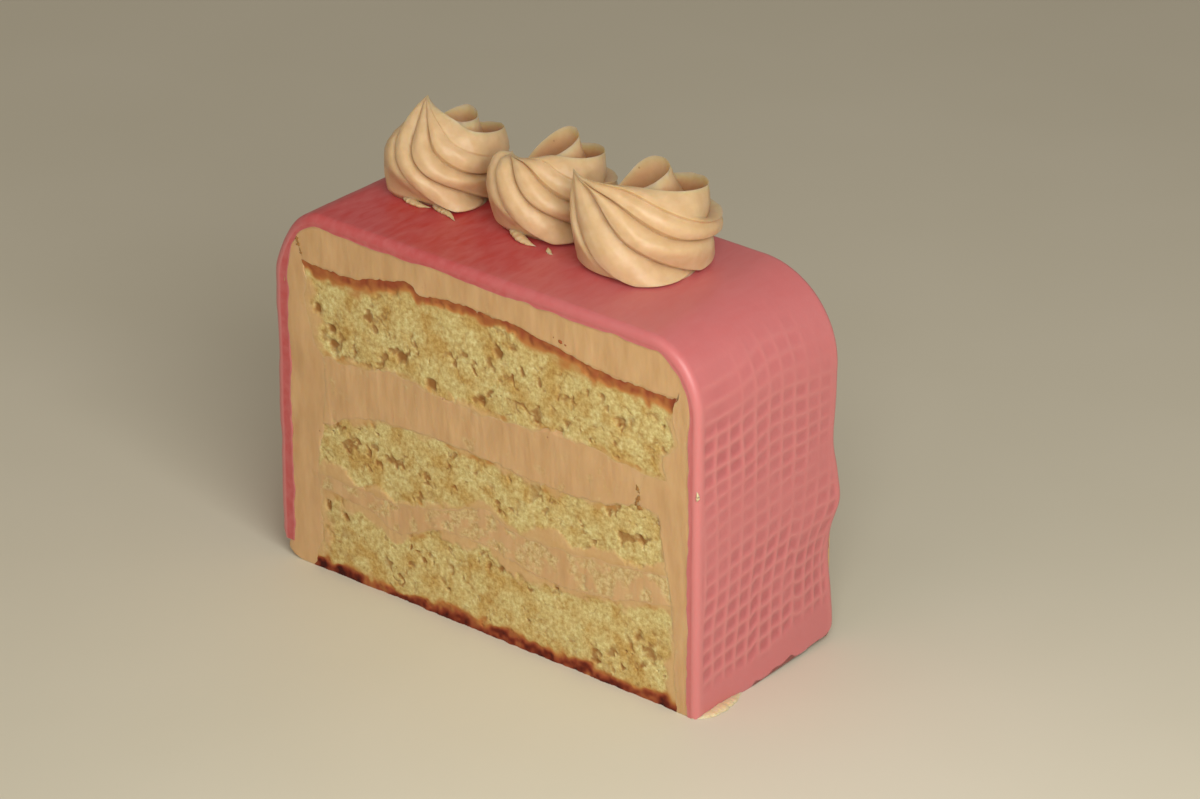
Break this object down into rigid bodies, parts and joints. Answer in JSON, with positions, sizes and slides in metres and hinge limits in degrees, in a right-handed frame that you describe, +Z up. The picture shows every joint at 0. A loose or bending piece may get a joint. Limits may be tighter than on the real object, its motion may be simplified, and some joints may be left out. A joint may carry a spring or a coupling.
{
  "type": "fondant layer cake slice",
  "caption": "Slice of sponge layer cake with buttercream filling, a waffle-pressed pink fondant skin over its top and ends, and piped rosettes.",
  "frame": {"origin": "middle of the slice's foot, on the surface that it stands on", "axes": "+X along the slice towards the end that faces right when the layers are looked at, +Y from the front cut face to the back one, +Z up"},
  "size_m": [0.1036, 0.0424, 0.0945],
  "materials": {
    "sponge": "matt open yellow crumb with a thin brown crust above and below",
    "filling": "smooth satin buttercream, cut with a knife",
    "fondant": "satin dusky pink sugar paste pressed with a square waffle texture",
    "rosette": "glossy piped buttercream"
  },
  "bodies": {
    "root": {"sponge_bottom": "sponge", "filling_lower": "filling", "sponge_middle": "sponge", "filling_upper": "filling", "sponge_top": "sponge", "buttercream_coat": "filling", "fondant": "fondant", "rosette_left": "rosette", "rosette_middle": "rosette", "rosette_right": "rosette"}
  },
  "joints": []
}
